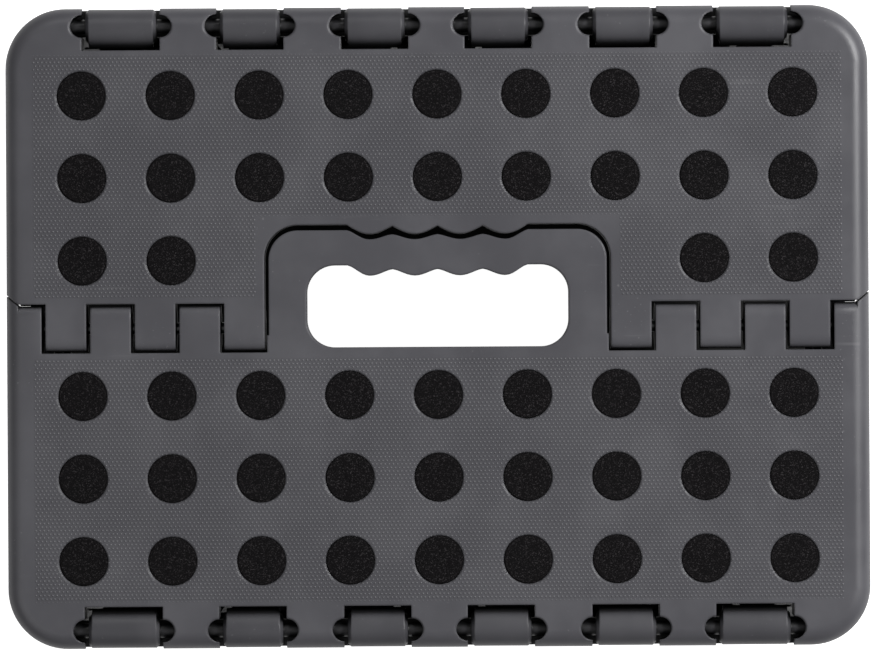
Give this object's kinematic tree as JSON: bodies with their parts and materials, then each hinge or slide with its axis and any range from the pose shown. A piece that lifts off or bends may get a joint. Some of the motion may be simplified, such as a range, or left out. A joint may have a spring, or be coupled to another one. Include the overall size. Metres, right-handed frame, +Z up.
{
  "type": "step stool",
  "caption": "Folding step stool with a finger-hinged top, a scalloped carry handle, round grip discs, and legs and end panels that fold flat.",
  "frame": {"origin": "on the floor, under the centre of the open stool", "axes": "+Z up; X along the stool's length; +Y to the rear, the side that the handle points to"},
  "size_m": [0.295, 0.219, 0.22],
  "materials": {
    "top_plastic": "satin moulded grey plastic with fine raised dots",
    "leg_plastic": "satin moulded grey plastic",
    "end_plastic": "satin moulded grey plastic",
    "grip_rubber": "matt black, granular",
    "foot_rubber": "matt black moulded rubber",
    "pin_steel": "drawn steel rod"
  },
  "bodies": {
    "rear_leg": {"rear_leg_panel": "leg_plastic", "rear_right_corner_pin": "pin_steel", "rear_left_corner_pin": "pin_steel", "rear_right_foot_pad": "foot_rubber", "rear_left_foot_pad": "foot_rubber"},
    "rear_top": {"rear_top_panel": "top_plastic", "rear_grip_row_1_left": "grip_rubber", "rear_grip_row_1_right": "grip_rubber", "rear_grip_row_2": "grip_rubber", "rear_grip_row_3": "grip_rubber", "right_centre_hinge_pin": "pin_steel", "left_centre_hinge_pin": "pin_steel"},
    "front_top": {"front_top_panel": "top_plastic", "front_handle": "top_plastic", "front_grip_row_1": "grip_rubber", "front_grip_row_2": "grip_rubber", "front_grip_row_3": "grip_rubber"},
    "front_leg": {"front_leg_panel": "leg_plastic", "front_right_corner_pin": "pin_steel", "front_left_corner_pin": "pin_steel", "front_right_foot_pad": "foot_rubber", "front_left_foot_pad": "foot_rubber"},
    "rear_right_end": {"rear_right_end_panel": "end_plastic", "right_end_hinge_pin": "pin_steel"},
    "rear_left_end": {"rear_left_end_panel": "end_plastic", "left_end_hinge_pin": "pin_steel"},
    "front_right_end": {"front_right_end_panel": "end_plastic"},
    "front_left_end": {"front_left_end_panel": "end_plastic"}
  },
  "joints": [
    {"name": "fold", "type": "hinge", "parent": "rear_leg", "child": "rear_top", "pos_m": [0, 0.1033, 0.2138], "axis": [-1, 0, 0], "range_deg": [0, 90]},
    {"name": "centre_fold", "type": "hinge", "parent": "rear_top", "child": "front_top", "pos_m": [0, 0, 0.201], "axis": [1, 0, 0], "range_deg": [0, 180]},
    {"name": "front_leg_fold", "type": "hinge", "parent": "front_top", "child": "front_leg", "pos_m": [0, -0.1033, 0.2138], "axis": [-1, 0, 0], "range_deg": [0, 90]},
    {"name": "rear_right_end_fold", "type": "hinge", "parent": "rear_leg", "child": "rear_right_end", "pos_m": [0.128, 0.1033, 0.106], "axis": [0, 0, -1], "range_deg": [0, 90]},
    {"name": "rear_left_end_fold", "type": "hinge", "parent": "rear_leg", "child": "rear_left_end", "pos_m": [-0.128, 0.1033, 0.106], "axis": [0, 0, 1], "range_deg": [0, 90]},
    {"name": "front_right_end_fold", "type": "hinge", "parent": "front_leg", "child": "front_right_end", "pos_m": [0.128, -0.1033, 0.106], "axis": [0, 0, 1], "range_deg": [0, 90]},
    {"name": "front_left_end_fold", "type": "hinge", "parent": "front_leg", "child": "front_left_end", "pos_m": [-0.128, -0.1033, 0.106], "axis": [0, 0, -1], "range_deg": [0, 90]}
  ],
  "couplings": [
    {"joint": "centre_fold", "follows": "fold", "ratio": 2},
    {"joint": "front_leg_fold", "follows": "fold", "ratio": 1},
    {"joint": "rear_right_end_fold", "follows": "fold", "ratio": 1},
    {"joint": "rear_left_end_fold", "follows": "fold", "ratio": 1},
    {"joint": "front_right_end_fold", "follows": "fold", "ratio": 1},
    {"joint": "front_left_end_fold", "follows": "fold", "ratio": 1}
  ]
}
